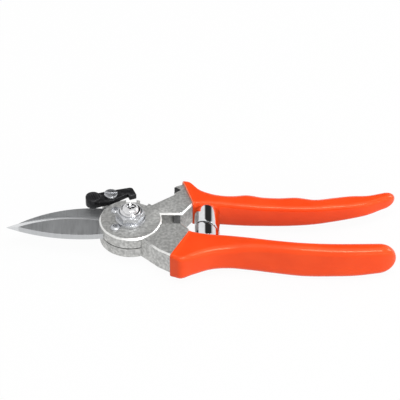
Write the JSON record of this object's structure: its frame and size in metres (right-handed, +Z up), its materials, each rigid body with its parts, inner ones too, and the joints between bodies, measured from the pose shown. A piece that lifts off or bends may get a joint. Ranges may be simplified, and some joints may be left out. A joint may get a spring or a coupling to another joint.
{
  "type": "pruning shears",
  "caption": "Bypass pruning shears with coated cast handles, hooked counter-blade, strip spring, thumb catch and an adjustable pivot.",
  "frame": {"origin": "on the pivot axis, at the flat underside of the pivot bolt's head, on the surface that the shears lie on", "axes": "+X from the pivot towards the handles' ends, +Z up along the pivot axis towards the lock screw"},
  "size_m": [0.2066, 0.0639, 0.0255],
  "materials": {
    "cast_aluminium": "matte blasted casting",
    "orange_vinyl": "smooth dipped vinyl, soft gloss",
    "blade_steel": "ground, polished bevel",
    "hook_steel": "satin ground",
    "plated_steel": "zinc plated",
    "bright_plating": "bright nickel",
    "spring_chrome": "bright chrome",
    "bronze": "sintered bronze",
    "black_rubber": "moulded rubber",
    "black_lever": "black oxide"
  },
  "bodies": {
    "hook_half": {"hook_handle_core": "cast_aluminium", "hook_handle_grip": "orange_vinyl", "counter_blade": "hook_steel", "counter_blade_rivet_1": "plated_steel", "counter_blade_rivet_2": "plated_steel", "pivot_bolt": "plated_steel", "pivot_washer": "plated_steel", "pivot_nut": "plated_steel", "lock_washer": "bright_plating", "hook_spring_stud": "plated_steel", "volute_spring": "spring_chrome", "closing_bumper": "black_rubber", "catch_screw": "plated_steel", "catch_washer": "plated_steel"},
    "blade_half": {"blade_handle_core": "cast_aluminium", "blade_handle_grip": "orange_vinyl", "cutting_blade": "blade_steel", "blade_screw_1": "plated_steel", "blade_screw_2": "plated_steel", "pivot_bush": "bronze", "blade_spring_stud": "plated_steel"},
    "catch": {"thumb_catch": "black_lever"},
    "screw": {"lock_screw": "bright_plating"}
  },
  "joints": [
    {"name": "handle_pivot", "type": "hinge", "parent": "hook_half", "child": "blade_half", "pos_m": [0, 0, 0.01], "axis": [0, 0, 1], "range_deg": [0, 26], "stiffness_Nm_per_rad": 2.4, "springref_deg": 35.52, "deforming": ["volute_spring"]},
    {"name": "catch_turn", "type": "hinge", "parent": "hook_half", "child": "catch", "pos_m": [-0.011, 0.0188, 0.0155], "axis": [0, 0, 1], "range_deg": [-22, 0]},
    {"name": "lock_screw_turn", "type": "hinge", "parent": "hook_half", "child": "screw", "pos_m": [0, 0, 0.0231], "axis": [0, 0, 1], "range_deg": [0, 270]}
  ]
}
